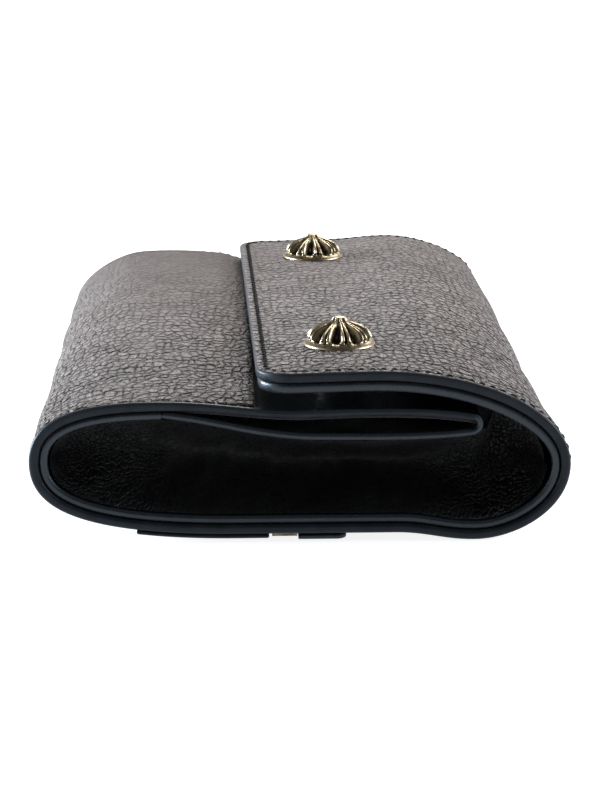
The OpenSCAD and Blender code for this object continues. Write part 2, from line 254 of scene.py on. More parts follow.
class Outline:
    """The plan of a sheet: from s0 to s1 and half on each side, with rounded corners at s1 if corner isn't 0.
    open0 and open1 say that the sheet goes on past that end, so that end has no rounded edge."""

    def __init__(self, s0, s1, half, corner=0.0, open0=False, open1=False):
        self.s0, self.s1, self.half, self.corner = s0, s1, half, corner
        self.open0, self.open1 = open0, open1

    def half_at(self, s):
        past = np.clip(s - (self.s1 - self.corner), 0, self.corner)
        return self.half - self.corner + np.sqrt(self.corner**2 - past**2)

    def distance(self, s, y):
        """How far in from the edge a point is."""
        d = self.half - abs(y)
        if not self.open0:
            d = np.minimum(d, s - self.s0)
        if not self.open1:
            d = np.minimum(d, self.s1 - s)
        if self.corner:
            a, b = s - (self.s1 - self.corner), abs(y) - (self.half - self.corner)
            d = np.where((a > 0) & (b > 0), self.corner - np.hypot(a, b), d)
        return d

    def inward(self, s, y, side):
        """Unit vector in plan that points in from the edge, for a point on one of the four sides."""
        n = {0: (0.0, 1.0), 1: (-1.0, 0.0), 2: (0.0, -1.0), 3: (1.0, 0.0)}[side]
        if (side == 1 and self.open1) or (side == 3 and self.open0):
            return (0.0, 0.0)
        if self.corner and side in (0, 2) and s > self.s1 - self.corner:
            c = (self.s1 - self.corner, (self.half - self.corner) * (1 if y > 0 else -1))
            d = math.hypot(c[0] - s, c[1] - y)
            return ((c[0] - s) / d, (c[1] - y) / d)
        return n


def perimeter(count_s, count_y):
    """Grid indices round the border and the side that each is on: (i, j, side)."""
    return (
        [(i, 0, 0) for i in range(count_s - 1)]
        + [(count_s - 1, j, 1) for j in range(count_y - 1)]
        + [(i, count_y - 1, 2) for i in range(count_s - 1, 0, -1)]
        + [(0, j, 3) for j in range(count_y - 1, 0, -1)]
    )


def zip_loops(loop_a, at_a, loop_b, at_b):
    """Triangles between two closed loops, matched by how far round each point is."""
    faces, i, j, na, nb = [], 0, 0, len(loop_a), len(loop_b)
    while i < na or j < nb:
        next_a = at_a[i + 1] if i + 1 < na else 4.0
        next_b = at_b[j + 1] if j + 1 < nb else 4.0
        if j >= nb or (i < na and next_a <= next_b):
            faces.append((loop_a[i % na], loop_a[(i + 1) % na], loop_b[j % nb]))
            i += 1
        else:
            faces.append((loop_a[i % na], loop_b[(j + 1) % nb], loop_b[j % nb]))
            j += 1
    return faces


def solid_sheet(
    name, outline, place, thick, rows, columns, lift, round_top=0.6, round_under=0.5, paint=0.4,
    under_step=(2.5, 9.0), hole=None, dark_until=None,
):
    """A closed sheet. place(s, y, h) gives points h below its main face, and lift(s, y, d) is how far
    the main face stands above its smooth shape d in from the edge. Material slots: face, edge, underside.
    Up to the length dark_until the face has the underside's material."""
    s = np.repeat(rows[:, None], len(columns), 1)
    unit = columns / columns[-1]
    y = unit[None, :] * outline.half_at(rows)[:, None]
    near = abs(abs(columns) - columns[-1]) < 4
    y[:, near] = (np.sign(columns) * (outline.half_at(rows)[:, None] - (columns[-1] - abs(columns))))[:, near]
    inner = np.flatnonzero(~near)
    if len(inner) and outline.corner:
        edge_in = np.abs(y[:, inner[-1] + 1])
        y[:, inner] = (columns[inner] / abs(columns[inner[-1] + 1]))[None, :] * edge_in[:, None]
    d = np.maximum(outline.distance(s, y), 0)
    inside = np.clip(d, 0, round_top)
    drop = round_top - np.sqrt(np.maximum(round_top**2 - (round_top - inside) ** 2, 0))
    # lift also gives hollow_shade, the painted shade of the face's grooves and creases
    hollow_shade, raised = lift(s, y, d)
    top = place(s, y, drop - raised)
    count_s, count_y = s.shape
    index = np.arange(count_s * count_y).reshape(count_s, count_y)
    quads = np.stack([index[:-1, :-1], index[1:, :-1], index[1:, 1:], index[:-1, 1:]], -1).reshape(-1, 4)
    mid_d = (d[:-1, :-1] + d[1:, 1:] + d[1:, :-1] + d[:-1, 1:]).ravel() / 4
    slots = np.where(mid_d < paint, 1, 0)
    if dark_until is not None:
        mid_s = (s[:-1, :-1] + s[1:, 1:]).ravel() / 2
        slots[(mid_s < dark_until) & (slots == 0)] = 2

    def not_in_hole(a, b):
        mid_a, mid_b = (a[:-1] + a[1:]) / 2, (b[:-1] + b[1:]) / 2
        cut_a, cut_b = (mid_a > hole[0]) & (mid_a < hole[1]), (mid_b > hole[2]) & (mid_b < hole[3])
        return ~(cut_a[:, None] & cut_b[None, :]).ravel()

    if hole:
        keep = not_in_hole(rows, columns)
        quads, slots = quads[keep], slots[keep]

    border = perimeter(count_s, count_y)
    plan = []
    for i, j, side in border:
        a, b = s[i, j], y[i, j]
        n = np.array(outline.inward(a, b, side))
        if (i in (0, count_s - 1)) and (j in (0, count_y - 1)) and not outline.corner * (i > 0):
            n = np.array(outline.inward(a, b, 1 if i else 3)) + np.array([0.0, 1.0 if j == 0 else -1.0])
        plan.append((a, b, n[0], n[1]))
    plan = np.array(plan)
    turn = np.linspace(0, math.pi / 2, 5)
    rings = [(round_under * (1 - math.cos(t)), thick - round_under + round_under * math.sin(t)) for t in turn]
    points, base = [top.reshape(-1, 3)], count_s * count_y
    loop = np.array([index[i, j] for i, j, _ in border])
    size = len(loop)
    faces, face_slots = [quads], [slots]
    for inset, h in rings:
        a, b = plan[:, 0] + inset * plan[:, 2], plan[:, 1] + inset * plan[:, 3]
        points.append(place(a, b, h + 0 * a))
        fresh = np.arange(base, base + size)
        faces.append(np.stack([loop, np.roll(loop, -1), np.roll(fresh, -1), fresh], -1))
        face_slots.append(np.ones(size, int))
        loop, base = fresh, base + size

    # the underside, coarser than the face
    lip = round_under + min(1.2, 0.2 * (outline.s1 - outline.s0), 0.2 * outline.half)
    low = outline.s0 + (0.0 if outline.open0 else lip)
    high = outline.s1 - (0.0 if outline.open1 else lip)
    if outline.open0:
        low += 0.25
    if outline.open1:
        high -= 0.25
    us = np.linspace(low, high, max(2, int(math.ceil((high - low) / under_step[0])) + 1))
    uy = np.linspace(-1, 1, max(2, int(math.ceil(2 * outline.half / under_step[1])) + 1))
    if hole:
        for value in hole[:2]:
            us[np.argmin(abs(us - value))] = value
        wide = outline.half - lip
        for value in hole[2:]:
            uy[np.argmin(abs(uy * wide - value))] = value / wide
    su = np.repeat(us[:, None], len(uy), 1)
    yu = uy[None, :] * (outline.half_at(us) - lip)[:, None]
    points.append(place(su, yu, thick + 0 * su).reshape(-1, 3))
    under = np.arange(base, base + su.size).reshape(su.shape)
    uq = np.stack([under[:-1, :-1], under[:-1, 1:], under[1:, 1:], under[1:, :-1]], -1).reshape(-1, 4)
    if hole:
        uq = uq[not_in_hole(us, uy * (outline.half - lip))]
    faces.append(uq)
    face_slots.append(np.full(len(uq), 2))

    def round_at(side, part_a, part_b):
        """How far round a four-sided loop a point is."""
        return {0: part_a, 1: 1 + part_b, 2: 3 - part_a, 3: 4 - part_b}[side]

    def rounds(loop_points, a, b, first, last):
        return [
            round_at(side, (a[i, j] - first) / (last - first), (b[i, j] + abs(b[i, 0])) / (2 * abs(b[i, 0])))
            for i, j, side in loop_points
        ]

    at_a = rounds(border, s, y, outline.s0, outline.s1)
    under_border = perimeter(*su.shape)
    at_b = rounds(under_border, su, yu, us[0], us[-1])
    tris = zip_loops(list(loop), at_a, [under[i, j] for i, j, _ in under_border], at_b)
    tri_slots = [2] * len(tris)
    if hole:
        def hole_loop(grid, a, b):
            ia = [int(np.argmin(abs(a - v))) for v in hole[:2]]
            ib = [int(np.argmin(abs(b - v))) for v in hole[2:]]
            ring = (
                [(i, ib[0], 0) for i in range(ia[0], ia[1])]
                + [(ia[1], j, 1) for j in range(ib[0], ib[1])]
                + [(i, ib[1], 2) for i in range(ia[1], ia[0], -1)]
                + [(ia[0], j, 3) for j in range(ib[1], ib[0], -1)]
            )
            spans = [
                round_at(side, (a[i] - hole[0]) / (hole[1] - hole[0]), (b[j] - hole[2]) / (hole[3] - hole[2]))
                for i, j, side in ring
            ]
            return [grid[i, j] for i, j, _ in ring], spans

        wall = zip_loops(*hole_loop(index, rows, columns), *hole_loop(under, us, uy * (outline.half - lip)))
        tris += wall
        tri_slots += [1] * len(wall)

    verts = np.vstack(points) * MM
    polys = [f.tolist() for f in faces]
    polys = [p for group in polys for p in group] + [list(map(int, t)) for t in tris]
    mesh = bpy.data.meshes.new(name)
    mesh.from_pydata(verts.tolist(), [], polys)
    mesh.polygons.foreach_set("material_index", np.concatenate([*face_slots, tri_slots]).astype(np.int32))
    extra = len(verts) - top.reshape(-1, 3).shape[0]
    # rim: a thin line just inside the edge that edge materials paint lighter, a painted highlight
    rim = np.exp(-(((d - HIGHLIGHT_IN) / 0.15) ** 2))
    # hollow_shade: the painted shade of grooves and creases; rim: the painted highlight line
    for key, values, rest in (("hollow_shade", hollow_shade, 0.6), ("rim", rim, 0.0)):
        data = np.concatenate([np.broadcast_to(values, s.shape).ravel(), np.full(extra, rest)])
        mesh.attributes.new(key, "FLOAT", "POINT").data.foreach_set("value", data.astype(np.float32))
    flat = np.zeros((len(verts), 3), np.float32)
    flat[: s.size, 0], flat[: s.size, 1] = s.ravel(), y.ravel()
    flat[s.size :] = verts[s.size :] / MM
    mesh.attributes.new("flat", "FLOAT_VECTOR", "POINT").data.foreach_set("vector", flat.ravel())
    return finish_mesh(name, mesh)


def finish_mesh(name, mesh, sharp=55):
    """An object from a mesh, with its normals outward and its sharp edges marked."""
    work = bmesh.new()
    work.from_mesh(mesh)
    bmesh.ops.recalc_face_normals(work, faces=work.faces)
    work.to_mesh(mesh)
    work.free()
    mesh.shade_smooth()
    mesh.set_sharp_from_angle(angle=math.radians(sharp))
    piece = bpy.data.objects.new(name, mesh)
    bpy.context.scene.collection.objects.link(piece)
    return piece


# ---------------------------------------------------------------- materials


class Nodes:
    """Makes and links the nodes of one shader tree, whose inputs are fed to its main node."""

    def __init__(self, tree, main, **values):
        self.tree, self.main = tree, tree.nodes[main]
        self.feed(**values)

    def node(self, kind, **inputs):
        made = self.tree.nodes.new("ShaderNode" + kind)
        for key, value in inputs.items():
            if key.startswith("prop_"):
                setattr(made, key[5:], value)
        for key, value in inputs.items():
            if not key.startswith("prop_"):
                self.put(made.inputs[key.replace("_", " ")], value)
        return made

    def put(self, socket, value):
        if isinstance(value, bpy.types.NodeSocket):
            self.tree.links.new(value, socket)
        else:
            socket.default_value = value

    def feed(self, **values):
        """Sets or links the main node's inputs; an underscore stands for a space."""
        for key, value in values.items():
            self.put(self.main.inputs[key.replace("_", " ")], value)

    def tones(self, factor, colour, low, high):
        """A colour that goes from low to high times its strength."""
        return self.mix(factor, (*[c * low for c in colour], 1), (*[c * high for c in colour], 1))

    def axis(self, vector, letter):
        return self.node("SeparateXYZ", Vector=vector).outputs[letter]

    def attribute(self, name, output="Fac"):
        return self.node("Attribute", prop_attribute_name=name).outputs[output]

    def math(self, operation, a, b=0.0, clamp=False):
        made = self.node("Math", prop_operation=operation, prop_use_clamp=clamp)
        self.put(made.inputs[0], a)
        self.put(made.inputs[1], b)
        return made.outputs[0]

    def spread(self, value, low, high, to_low=0.0, to_high=1.0):
        made = self.node("MapRange", prop_clamp=True)
        for k, v in enumerate((value, low, high, to_low, to_high)):
            self.put(made.inputs[k], v)
        return made.outputs[0]

    def mix(self, factor, a, b):
        made = self.node("Mix", prop_data_type="RGBA")
        self.put(made.inputs[0], factor)
        self.put(made.inputs[6], a)
        self.put(made.inputs[7], b)
        return made.outputs[2]


class Shader(Nodes):
    """A procedural material: one Principled shader and the few nodes that feed it."""

    def __init__(self, name, **values):
        self.material = bpy.data.materials.new(name)
        self.material.use_nodes = True
        super().__init__(self.material.node_tree, "Principled BSDF", **values)

    def noise(self, where, scale, detail=3.0, stretch=(1, 1, 1)):
        turned = self.node("Mapping", Vector=where, Scale=stretch)
        return self.node("TexNoise", Vector=turned.outputs[0], Scale=scale, Detail=detail).outputs["Fac"]

    def bump(self, height, strength, distance, before=None):
        made = self.node("Bump", Height=height, Strength=strength, Distance=distance)
        if before is not None:
            self.put(made.inputs["Normal"], before)
        return made.outputs[0]

    def flat(self):
        """The place on the flat sheet, in millimetres."""
        return self.attribute("flat", "Vector")

    def solid(self):
        """The place in the object, in millimetres."""
        where = self.node("TexCoord").outputs["Object"]
        scaled = self.node("VectorMath", prop_operation="SCALE")
        self.put(scaled.inputs[0], where)
        scaled.inputs["Scale"].default_value = 1 / MM
        return scaled.outputs[0]


def grey(value):
    return (value, value, value, 1)


def leather_face(name, light, dark, rough, specular, cell=(1.75, 2.7), depth=0.0012, fade=None):
    """Pebbled leather: scales that stand a little higher at their near end, creases round them painted dark
    as shade, darkest across the scales' near and far ends, and fine pores. fade(m, flat) gives how strong the
    pebbling is at a place; where it is weaker the colour is darker too, a painted shade."""
    m = Shader(name, Specular_IOR_Level=specular)
    flat = m.flat()
    drift = m.node("TexNoise", Vector=flat, Scale=0.2, Detail=2.0).outputs["Color"]
    moved = m.node("VectorMath", prop_operation="MULTIPLY_ADD")
    for place, value in enumerate((drift, (3.0, 4.5, 0), flat)):
        m.put(moved.inputs[place], value)
    strength = fade(m, flat) if fade else 1.0

    def cells(scale, feature):
        sized = m.node("Mapping", Vector=moved.outputs[0], Scale=(scale / cell[0], scale / cell[1], 1))
        found = m.node(
            "TexVoronoi", prop_voronoi_dimensions="2D", prop_feature=feature, Vector=sized.outputs[0],
            Scale=1.0, Randomness=0.78,
        )
        return sized.outputs[0], found

    place, nearest = cells(1.0, "F1")
    _, borders = cells(1.0, "DISTANCE_TO_EDGE")
    _, fine_borders = cells(2.3, "DISTANCE_TO_EDGE")
    cracks, fine_cracks = borders.outputs["Distance"], fine_borders.outputs["Distance"]
    lean = m.math("SUBTRACT", m.axis(nearest.outputs["Position"], "Y"), m.axis(place, "Y"))
    presence = m.spread(m.noise(flat, 0.16, 2.0), 0.34, 0.58, 0.42, 1.0)
    # painted shade: creases across the scales' near and far ends come out darker, as where light from behind
    # leaves them in shade
    end_shade = m.spread(m.math("ABSOLUTE", lean), 0.08, 0.36, 0.3, 1.0)
    line = m.math("MULTIPLY", m.spread(cracks, 0.035, 0.16, 1.0, 0.0), presence)
    line = m.math("MULTIPLY", line, m.math("MULTIPLY", strength, end_shade))
    fine_line = m.math("MULTIPLY", m.spread(fine_cracks, 0.02, 0.12, 0.4, 0.0), strength)
    # painted shade in the stitch groove and between the gusset's pebbles, read from the hollow_shade
    # attribute
    seam = m.spread(m.attribute("hollow_shade"), 0.05, 0.5, 0.95, 0.0)
    crease_shade = m.math("MAXIMUM", m.math("MAXIMUM", line, fine_line), seam)
    random = m.axis(nearest.outputs["Color"], "X")
    broad = m.noise(flat, 0.045, 2.0)
    patch = m.math("ADD", m.math("MULTIPLY", random, 0.4), m.math("MULTIPLY", broad, 0.7))
    plateau = m.tones(patch, light, 0.6, 1.4)
    # painted shade: where the pebbling is weaker, the colour turns to this darker tone
    rubbed = m.tones(patch, light, 0.33, 0.52)
    plateau = m.mix(strength, rubbed, plateau)
    m.feed(Base_Color=m.mix(crease_shade, plateau, (*dark, 1)))
    fine = m.noise(flat, 2.2, 4.0)
    gloss = m.math("ADD", m.spread(crease_shade, 0, 1, rough, rough + 0.3), m.spread(fine, 0.3, 0.7, -0.06, 0.07))
    gloss = m.math("ADD", gloss, m.spread(strength, 0, 1, 0.3, 0.0))
    m.feed(Roughness=gloss)
    pores = m.bump(m.noise(flat, 3.2, 3.0), 0.25, 0.00012)
    height = m.math("ADD", m.spread(cracks, 0.0, 0.24), m.math("MULTIPLY", lean, 0.9))
    height = m.math("ADD", height, m.spread(fine_cracks, 0.0, 0.3, 0.0, 0.22))
    steady = m.spread(presence, 0.42, 1.0, 0.65, 1.0)
    height = m.math("MULTIPLY", m.math("MULTIPLY", height, steady), strength)
    m.feed(Normal=m.bump(height, 1.0, depth, pores))
    return m.material


def dark_leather(name, colour, rough, specular, grit=0.3, scale=1.0, uneven=0.35, rim=None):
    """Smooth dark leather or a painted edge, with small unevenness and rubbed high spots. rim, if given,
    colours a thin line along the edge's rounding lighter: a painted highlight.
    """
    m = Shader(name, Specular_IOR_Level=specular)
    solid = m.solid()
    cloud = m.noise(solid, 0.35 * scale, 3.0)
    rub = m.noise(solid, 2.6 * scale, 4.0)
    tone = m.tones(m.spread(cloud, 0.3, 0.7), colour, 0.72, 1.35)
    # painted highlight: a lighter line along the edge's rounding
    if rim:
        tone = m.mix(m.attribute("rim"), tone, (*rim, 1))
    m.feed(Base_Color=tone)
    m.feed(Roughness=m.spread(rub, 0.25, 0.75, rough - 0.08, rough + 0.12))
    small = m.bump(rub, grit, 0.00018)
    m.feed(Normal=m.bump(cloud, uneven, 0.0006, small))
    m.feed(Specular_Tint=(0.8, 0.9, 1.0, 1))
    return m.material


def patterned(m, pattern, tones, rough, relief):
    """One pattern that gives a material its colour, roughness and relief."""
    m.feed(
        Base_Color=m.tones(pattern, *tones), Roughness=m.spread(pattern, 0, 1, *rough),
        Normal=m.bump(pattern, *relief),
    )
    return m.material


def cloth(name, colour):
    """Twill: slanted ribs with a crossing thread."""
    m = Shader(name, Specular_IOR_Level=0.15, Sheen_Weight=0.25, Sheen_Roughness=0.5)
    solid = m.solid()
    turned = m.node("Mapping", Vector=solid, Rotation=(0, 0, math.radians(38)))
    ribs = m.node("TexWave", Vector=turned.outputs[0], Scale=0.8, Distortion=0.6, Detail=1.0).outputs["Fac"]
    thread = m.node(
        "TexWave", prop_bands_direction="Y", Vector=solid, Scale=1.3, Distortion=0.4
    ).outputs["Fac"]
    weave = m.math("MULTIPLY", ribs, m.spread(thread, 0, 1, 0.6, 1.0))
    return patterned(m, weave, (colour, 0.5, 1.5), (0.9, 0.7), (0.6, 0.00025))


def thread_material(name, colour):
    m = Shader(name, Specular_IOR_Level=0.1)
    solid = m.solid()
    turned = m.node("Mapping", Vector=solid, Rotation=(0.3, 0.2, math.radians(35)))
    ply = m.node("TexWave", Vector=turned.outputs[0], Scale=1.8, Distortion=0.5).outputs["Fac"]
    return patterned(m, ply, (colour, 0.5, 1.6), (0.75, 0.55), (0.5, 0.0001))


def old_metal(name, bright, patina, rough, from_attribute=False):
    """Plated metal, dark where the plating isn't rubbed."""
    m = Shader(name, Metallic=1.0)
    solid = m.solid()
    cloud = m.noise(solid, 0.9, 4.0)
    if from_attribute:
        worn = m.math("ADD", m.attribute("worn"), m.spread(cloud, 0.3, 0.7, -0.3, 0.25), clamp=True)
    else:
        worn = m.spread(cloud, 0.36, 0.56, 0.25, 1.0)
    m.feed(Base_Color=m.mix(worn, (*patina, 1), (*bright, 1)))
    m.feed(Roughness=m.spread(worn, 0, 1, rough + 0.25, rough))
    m.feed(Normal=m.bump(m.noise(solid, 3.5, 3.0), 0.25, 0.0001))
    return m.material


def board(name, colour):
    m = Shader(name, Specular_IOR_Level=0.2)
    solid = m.solid()
    fibre = m.noise(solid, 1.2, 5.0, (1, 0.2, 1))
    return patterned(m, fibre, (colour, 0.8, 1.0), (0.8, 0.95), (0.4, 0.0002))


def far_soft(m, flat):
    """The pebbling fades towards the far part of the flap, and the colour there turns darker: a painted
    shade.
    """
    return m.spread(m.axis(flat, "Y"), -72.0, 66.0, 1.5, 0.45)


def front_soft(m, flat):
    """The pebbling fades further towards the far part of the front panel and of its fold, and the colour
    there turns darker still: a painted shade.
    """
    front = m.spread(m.axis(flat, "X"), fold_start + 10.0, fold_start + 50.0, 1.0, 0.0)
    # worn: how far the pebbling fades and the colour darkens here, a painted shade
    worn = m.math("MULTIPLY", m.spread(m.axis(flat, "Y"), -30.0, 62.0, 0.0, 0.72), front)
    return m.math("MULTIPLY", far_soft(m, flat), m.math("SUBTRACT", 1.0, worn))


def smooth_middle(m, flat):
    """A gusset is smooth in its middle and pebbled towards its two ends; its deep middle is coloured darker,
    a painted shade.
    """
    along = m.axis(flat, "X")
    return m.math("ADD", m.spread(along, 14.0, 34.0, 0.6, 0.0), m.spread(along, 84.0, 104.0, 0.06, 1.0))


# The leather's own colour, and the near-black that its creases are painted, as shade
LEATHER_TONES = (0.194, 0.165, 0.155), (0.0015, 0.0013, 0.0013)
LEATHER, FLAP_FACE_LEATHER = (
    leather_face(name, *LEATHER_TONES, rough=0.42, specular=0.09, fade=fade)
    for name, fade in (("pebbled_leather_face", front_soft), ("pebbled_leather_flap_face", far_soft))
)
# The rim colours paint a highlight along the edges' rounded tops
LEATHER_EDGE = dark_leather(
    "leather_painted_edge", (0.009, 0.011, 0.014), rough=0.36, specular=0.16, grit=0.05, uneven=0.1,
    rim=(0.024, 0.028, 0.033),
)
LINING = dark_leather("black_lining_face", (0.0028, 0.0036, 0.0048), rough=0.36, specular=0.26, uneven=0.2)
LINING_EDGE = dark_leather(
    "black_lining_edge", (0.006, 0.008, 0.0105), rough=0.3, specular=0.4, grit=0.05, uneven=0.08,
    rim=(0.018, 0.022, 0.028),
)
# The gusset's pebble borders and its deep middle are coloured darker: a painted shade
GUSSET = leather_face(
    "gusset_leather_face", (0.0012, 0.0018, 0.0028), (0.0005, 0.0006, 0.0008), rough=0.2, specular=0.28,
    cell=(1.1, 0.95), depth=0.00055, fade=smooth_middle,
)
SLOT_LEATHER = dark_leather(
    "card_slot_face", (0.05, 0.043, 0.04), rough=0.45, specular=0.4, grit=0.4, scale=1.6
)
CLOTH = cloth("black_twill", (0.016, 0.016, 0.02))
THREAD = thread_material("black_thread", (0.004, 0.004, 0.005))
GOLD = old_metal("antique_gold_cap", (0.5, 0.41, 0.27), (0.03, 0.022, 0.012), 0.22, from_attribute=True)
BRASS = old_metal("antique_brass", (0.52, 0.4, 0.21), (0.16, 0.11, 0.05), 0.3)
PULL_METAL = old_metal("dark_pull_metal", (0.2, 0.17, 0.12), (0.05, 0.04, 0.03), 0.35)
# The snap's steel is darkened so that in the shaded gap under the flap it shows no glint: a painted shade
STEEL = old_metal("snap_steel_darkened", (0.2, 0.19, 0.175), (0.1, 0.095, 0.085), 0.42)
BOARD = board("stiffening_board_grey", (0.4, 0.33, 0.24))


# Each slot's materials on the face, the edge and the underside of a panel
PANEL_SETS = {
    "pebbled_leather": (LEATHER, LEATHER_EDGE, LINING),
    "black_lining": (LINING, LINING_EDGE, LINING),
    "black_gusset_leather": (GUSSET, LINING_EDGE, LINING),
    "card_slot_leather": (SLOT_LEATHER, LINING_EDGE, CLOTH),
    "black_cloth": (CLOTH, CLOTH, CLOTH),
    "stiffening_board": (BOARD, BOARD, BOARD),
}


def dress(piece, slot, *materials):
    """Gives a piece the materials given, or else its slot's usual ones."""
    for material in materials or PANEL_SETS[slot]:
        piece.data.materials.append(material)
    return piece


# ---------------------------------------------------------------- outer leather


def leather_lift(start, seam, groove, groove_shade, pressed=0.0, pressed_until=0.0, thin_until=0.0):
    """The relief of the outer leather, and how dark its stitch groove is painted as shade. start is what is
    added to s, so that the pebbling runs on over a seam, seam is how far in from the edge the stitches lie,
    groove how deep they are drawn in, and groove_shade how dark that groove is painted, a painted shade.
    pressed is how far the border outside them sinks, fading out before the length pressed_until. Up to
    thin_until the leather is smooth and thinner."""

    def lift(s, y, d):
        a = s + start
        edge, cell, _ = pebbles(a, y, (2.3, 3.1), 11)
        calm = smooth(d, 1.2, 2.8)
        relief = calm * (0.1 * (1 - np.exp(-edge / 0.36)) + 0.06 * cell - 0.13)
        relief = relief + 0.16 * smooth(d, 2, 9) * wobble(a, y, 14, 5)
        relief = relief - groove * np.exp(-(((d - seam) / 0.38) ** 2))
        relief = relief + 0.06 * np.exp(-(((d - seam - 0.9) / 0.5) ** 2))
        border = (1 - smooth(d, seam - 0.4, seam + 0.5)) * (1 - smooth(s, pressed_until - 28, pressed_until))
        pebbled = smooth(s, thin_until, thin_until + 0.8) if thin_until else 1
        relief = pebbled * (relief - pressed * border) - 0.45 * (1 - pebbled)
        # the first value is lower in the stitch groove, where the face is painted darker as shade
        return 0.6 - groove_shade * np.exp(-(((d - seam) / 0.4) ** 2)), relief

    return lift


shell_run = Run(
    [FRONT_MOUTH], [FRONT_FACE], [FOLD_TOP], [FOLD_BOTTOM], [BACK_FLAT], [BACK_HEEL], [SPINE_LOWER]
)
flap_run = Run([SPINE_UPPER], [FLAP_FACE], on_flap=True)
back_start = fold_start + Run([FOLD_TOP], [FOLD_BOTTOM]).total
zip_low, zip_high = node_box("zip_tape_lower")[0], node_box("zip_tape_upper")[1]
window = (
    shell_run.length_at(zip_low[0], back_start - 12, back_start + 30),
    shell_run.length_at(zip_high[0], back_start - 12, back_start + 30),
    zip_low[1],
    zip_high[1],
)

under_flap = shell_run.length_at(FLAP_EDGE_X + 1.0, 0, fold_start)
BORDER = [*rounded(0.6), 0.9, 1.2, 1.5, 1.8, 2.1, 2.4, 2.8]
shell_outline = Outline(1.6, shell_run.total, HALF_L, open1=True)
shell_rows = marks(
    1.6, shell_run.total,
    [(under_flap - 1, 1.6), (back_start - 20, 0.48), (1e9, 0.95)], BORDER, [0], window[:2],
)
shell_columns = marks(-HALF_L, HALF_L, [(1e9, 0.52)], BORDER, BORDER, window[2:])
shell_leather = solid_sheet(
    "leather_shell", shell_outline, shell_run.place, LEATHER_T, shell_rows, shell_columns,
    leather_lift(
        0, SHELL_STITCH, groove=0.3, groove_shade=0.22, pressed=0.35, pressed_until=fold_start + 8,
        thin_until=under_flap,
    ),
    hole=window, paint=0.55, round_top=0.6, round_under=0.7, dark_until=under_flap + 0.2,
)
dress(shell_leather, "pebbled_leather")
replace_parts(shell_leather, "outer_leather", "spine_leather")
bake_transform(shell_leather)

flap_outline = Outline(0, flap_run.total, HALF_L, FLAP_R, open0=True)
flap_rows = marks(0, flap_run.total, [(1e9, 0.44)], [0], BORDER)
flap_columns = marks(-HALF_L, HALF_L, [(1e9, 0.48)], BORDER, BORDER)
flap_leather = solid_sheet(
    "leather_flap", flap_outline, flap_run.place, LEATHER_T, flap_rows, flap_columns,
    leather_lift(shell_run.total, STITCH_INSET, groove=0.14, groove_shade=0.08),
)
dress(flap_leather, "pebbled_leather", FLAP_FACE_LEATHER, LEATHER_EDGE, LINING)
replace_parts(flap_leather, "flap_leather")
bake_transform(flap_leather)

# ---------------------------------------------------------------- linings and inner panels


def soft_lift(amount, size=11, seed=31):
    """A face that is smooth but for slight hollows."""

    def lift(s, y, d):
        return 0 * s + 0.6, amount * smooth(d, 0.5, 4) * wobble(s, y, size, seed)

    return lift


def panel(
    name, run, span, half, depth, thick, slot, step=1.6, inner=True, bead=None,
    ends=(False, False), corner=0.0, wave=0.06, shift=0.0, start_thick=None,
):
    """A closed panel between two lengths of a run. inner says that its main face is the one inside the
    wallet, and start_thick is its thickness at its start, if that isn't thick."""
    bead = min(0.45 * thick, 0.7) if bead is None else bead
    outline = Outline(*span, half, corner, *ends)
    border = [*rounded(bead), bead + 0.5, bead + 1.2]
    rows = marks(*span, [(1e9, step)], [0] if ends[0] else border, [0] if ends[1] else border)
    columns = marks(-half, half, [(1e9, max(step, 1.6))], border, border)

    def place(s, y, h):
        swell = 1 - (1 - (start_thick or thick) / thick) * (1 - smooth(s, span[0], span[0] + 18))
        return run.place(s, y + shift, depth + (thick - h) * swell if inner else depth + h)

    piece = solid_sheet(
        name, outline, place, thick, rows, columns, soft_lift(wave), round_top=bead,
        round_under=bead, paint=bead + 0.2,
    )
    return dress(piece, slot)


fold_lining_run = Run(
    (FOLD_TOP, LINING_START_T, 1), [FOLD_BOTTOM], [BACK_FLAT], [BACK_HEEL], [SPINE_LOWER]
)
shell_lining = panel(
    "lining_shell", fold_lining_run, (0, fold_lining_run.total), HALF_L - LINING_INSET, LEATHER_T, LINING_T,
    "black_lining", 0.9, ends=(False, True),
)
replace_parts(shell_lining, "shell_lining", "spine_lining")
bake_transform(shell_lining)

flap_lining = panel(
    "lining_flap", flap_run, (0, flap_run.total - LINING_INSET), HALF_L - LINING_INSET, LEATHER_T,
    FLAP_LINING_T, "black_lining", 0.9, ends=(True, False), corner=FLAP_R - LINING_INSET,
    bead=0.8, start_thick=LINING_T,
)
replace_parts(flap_lining, "flap_lining")
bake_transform(flap_lining)

board_low, board_high = node_box("flap_stiffener")
flap_board = panel(
    "flap_board", flap_run, (flap_run.length_at(board_high[0]), flap_run.length_at(board_low[0])),
    (board_high[1] - board_low[1]) / 2, LEATHER_T + 0.4, 0.8, "stiffening_board", 2.0,
    wave=0.0,
)
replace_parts(flap_board, "flap_stiffener")
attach(flap_board, "flap")

pocket_run = Run([POCKET_MOUTH], [POCKET_FACE])
pocket = panel(
    "front_pocket", pocket_run, (1.6, pocket_run.total), HALF_L - LINING_INSET, 0, POCKET_T,
    "black_lining", 1.0, inner=False,
)
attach(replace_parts(pocket, "front_pocket_panel"), "shell")

